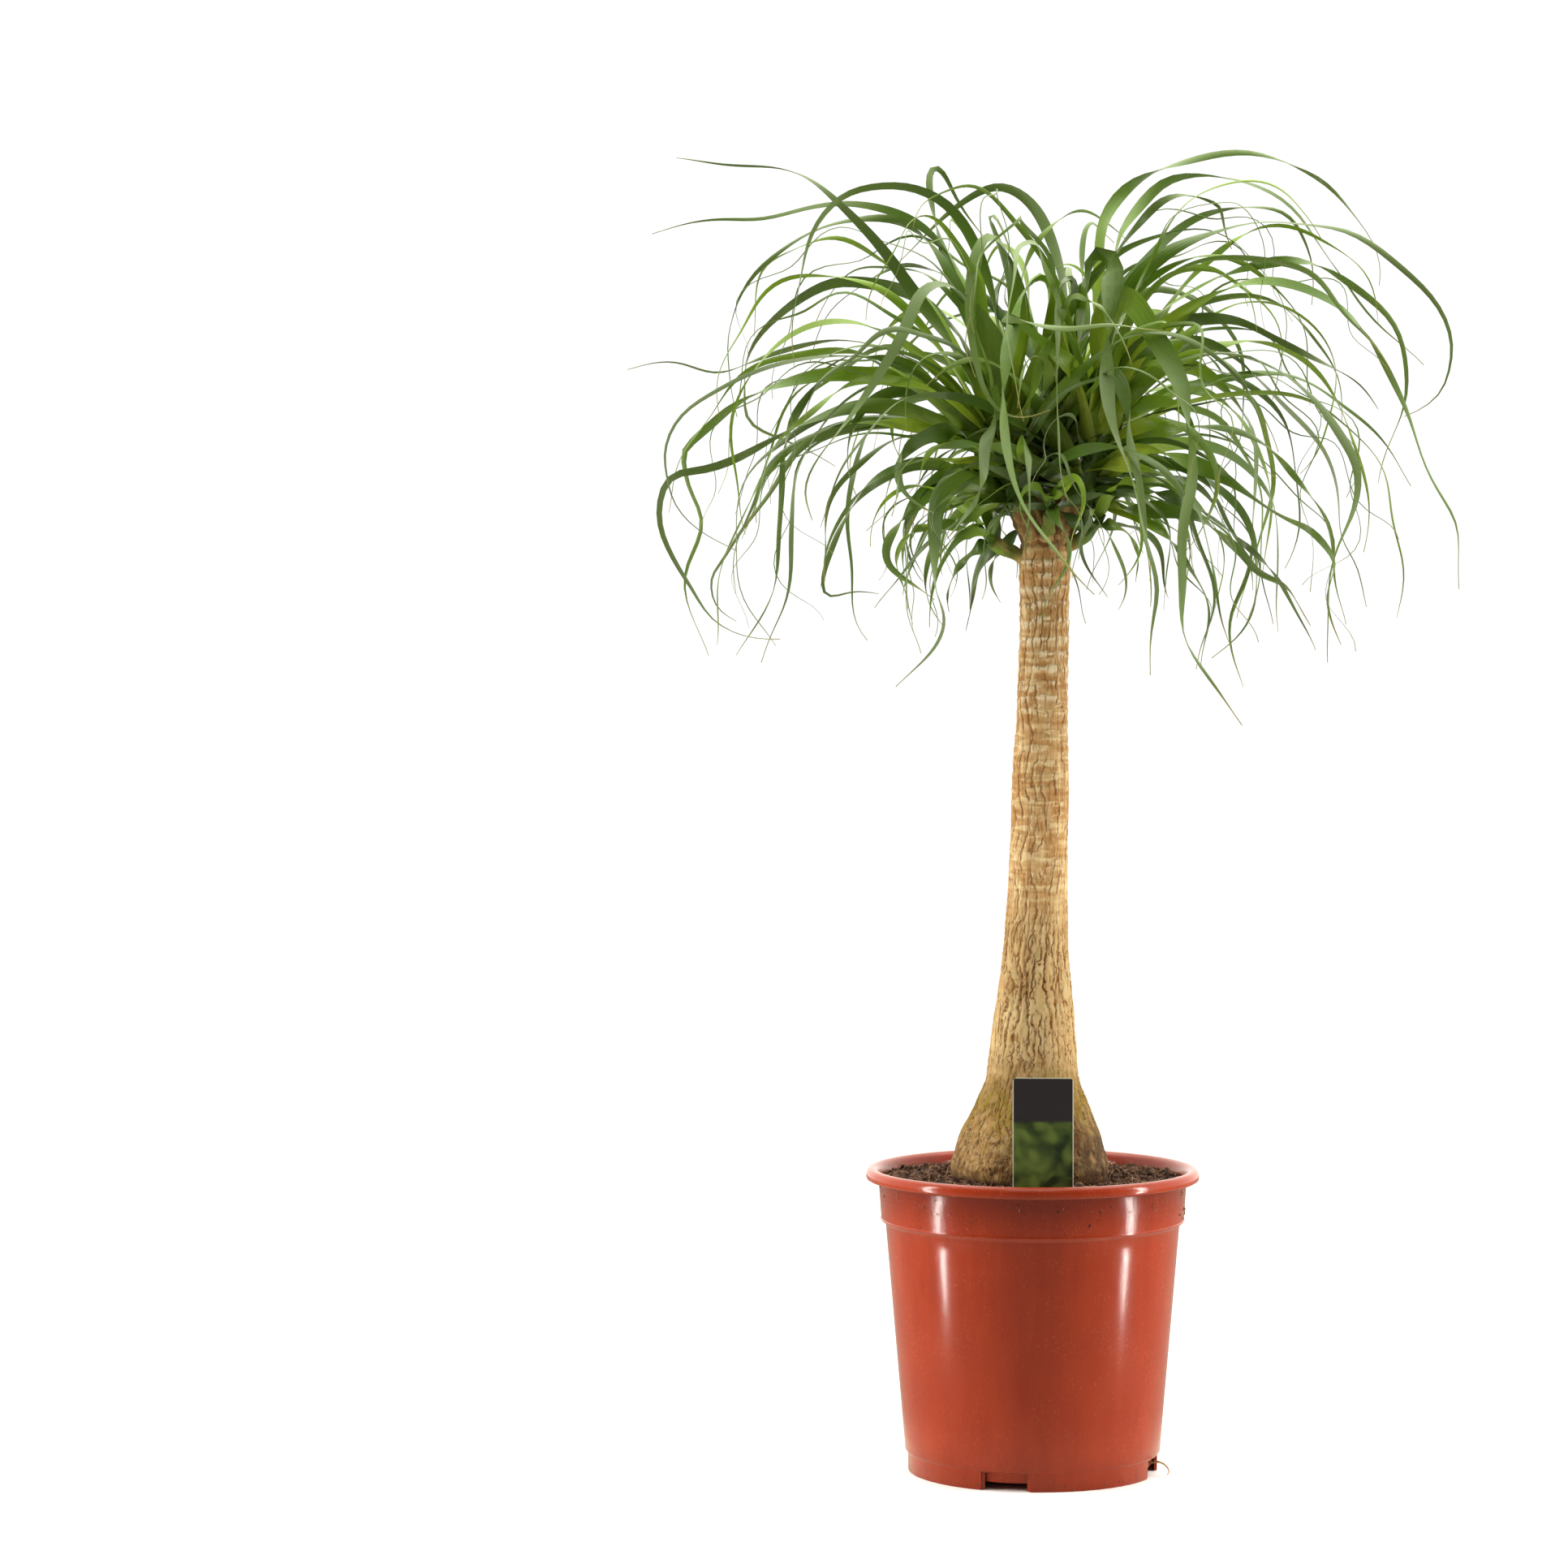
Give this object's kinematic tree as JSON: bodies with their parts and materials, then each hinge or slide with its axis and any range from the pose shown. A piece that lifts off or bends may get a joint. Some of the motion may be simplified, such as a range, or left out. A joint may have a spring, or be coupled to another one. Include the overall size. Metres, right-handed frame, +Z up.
{
  "type": "potted ponytail palm",
  "caption": "Ponytail palm with a swollen foot and heads of arching strap leaves, in a round terracotta-coloured plastic nursery pot with soil and a plain plant label.",
  "frame": {"origin": "on the floor under the middle of the whole plant's bounding box; the pot's own axis stands 12 mm from it, because the crown reaches further to the right and to the back", "axes": "+Z up along the trunk, -Y towards the viewer's side with the plant label, +X to the viewer's right"},
  "size_m": [0.6836, 0.6236, 1.0764],
  "materials": {
    "pot_plastic": "satin",
    "peat": "matte",
    "bark": "matte",
    "leaf": "satin",
    "label_plastic": "satin"
  },
  "bodies": {
    "root": {"pot": "pot_plastic", "soil": "peat", "trunk": "bark", "crown": "leaf", "label": "label_plastic"}
  },
  "joints": []
}
